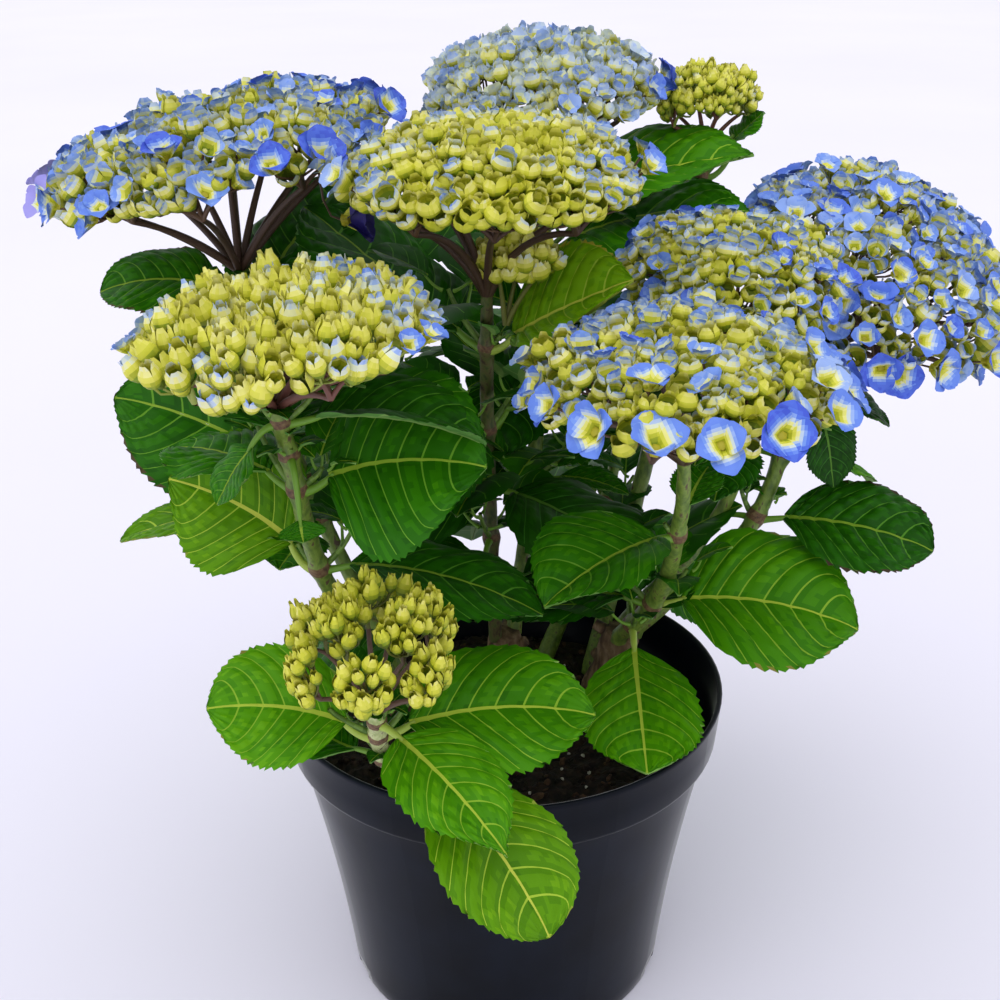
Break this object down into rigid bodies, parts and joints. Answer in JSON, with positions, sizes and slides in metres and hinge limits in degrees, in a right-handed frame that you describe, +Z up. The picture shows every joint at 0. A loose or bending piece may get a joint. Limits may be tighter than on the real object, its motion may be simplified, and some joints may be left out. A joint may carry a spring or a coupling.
{
  "type": "potted hydrangea shrub",
  "caption": "Potted hydrangea shrub with broad domed blue and yellow-green flower heads on leafy stems, in a round dark nursery pot.",
  "frame": {"origin": "centre of the pot's flat underside", "axes": "+Z up along the pot's axis, front towards -Y, right towards +X"},
  "size_m": [0.4232, 0.3492, 0.4182],
  "materials": {
    "pot": "satin moulded plastic",
    "soil": "moist peat and bark compost",
    "old_wood": "rough bark",
    "green_stem": "smooth green bark with brown nodes",
    "foliage": "satin leaf",
    "blossom": "soft petals",
    "buds": "waxy buds"
  },
  "bodies": {
    "root": {"bud_cluster_centre": "buds", "flower_head_back": "blossom", "flower_head_back_right": "buds", "flower_head_centre": "blossom", "flower_head_far_right": "blossom", "flower_head_left_front": "blossom", "flower_head_left_tall": "blossom", "flower_head_low_front": "buds", "flower_head_right": "blossom", "flower_head_right_front": "blossom", "leaves_back_1": "foliage", "leaves_back_2": "foliage", "leaves_back_3": "foliage", "leaves_back_4": "foliage", "leaves_back_right_1": "foliage", "leaves_back_right_2": "foliage", "leaves_back_right_3": "foliage", "leaves_centre_1": "foliage", "leaves_centre_2": "foliage", "leaves_centre_3": "foliage", "leaves_centre_4": "foliage", "leaves_far_right_1": "foliage", "leaves_far_right_2": "foliage", "leaves_far_right_3": "foliage", "leaves_left_front_1": "foliage", "leaves_left_front_2": "foliage", "leaves_left_front_3": "foliage", "leaves_left_front_4": "foliage", "leaves_left_tall_1": "foliage", "leaves_left_tall_2": "foliage", "leaves_left_tall_3": "foliage", "leaves_low_front_1": "foliage", "leaves_low_front_2": "foliage", "leaves_low_front_3": "foliage", "leaves_right_1": "foliage", "leaves_right_2": "foliage", "leaves_right_front_1": "foliage", "leaves_right_front_2": "foliage", "leaves_right_front_3": "foliage", "old_wood_left": "old_wood", "old_wood_middle": "old_wood", "old_wood_right": "old_wood", "pot": "pot", "shoot_back_left": "green_stem", "shoot_back_right": "green_stem", "shoot_leaves_back_left_1": "foliage", "shoot_leaves_back_left_2": "foliage", "shoot_leaves_back_left_3": "foliage", "shoot_leaves_back_right_1": "foliage", "shoot_leaves_back_right_2": "foliage", "soil": "soil", "stem_back": "green_stem", "stem_back_right": "green_stem", "stem_centre": "green_stem", "stem_far_right": "green_stem", "stem_left_front": "green_stem", "stem_left_tall": "green_stem", "stem_low_front": "green_stem", "stem_right": "green_stem", "stem_right_front": "green_stem"}
  },
  "joints": []
}
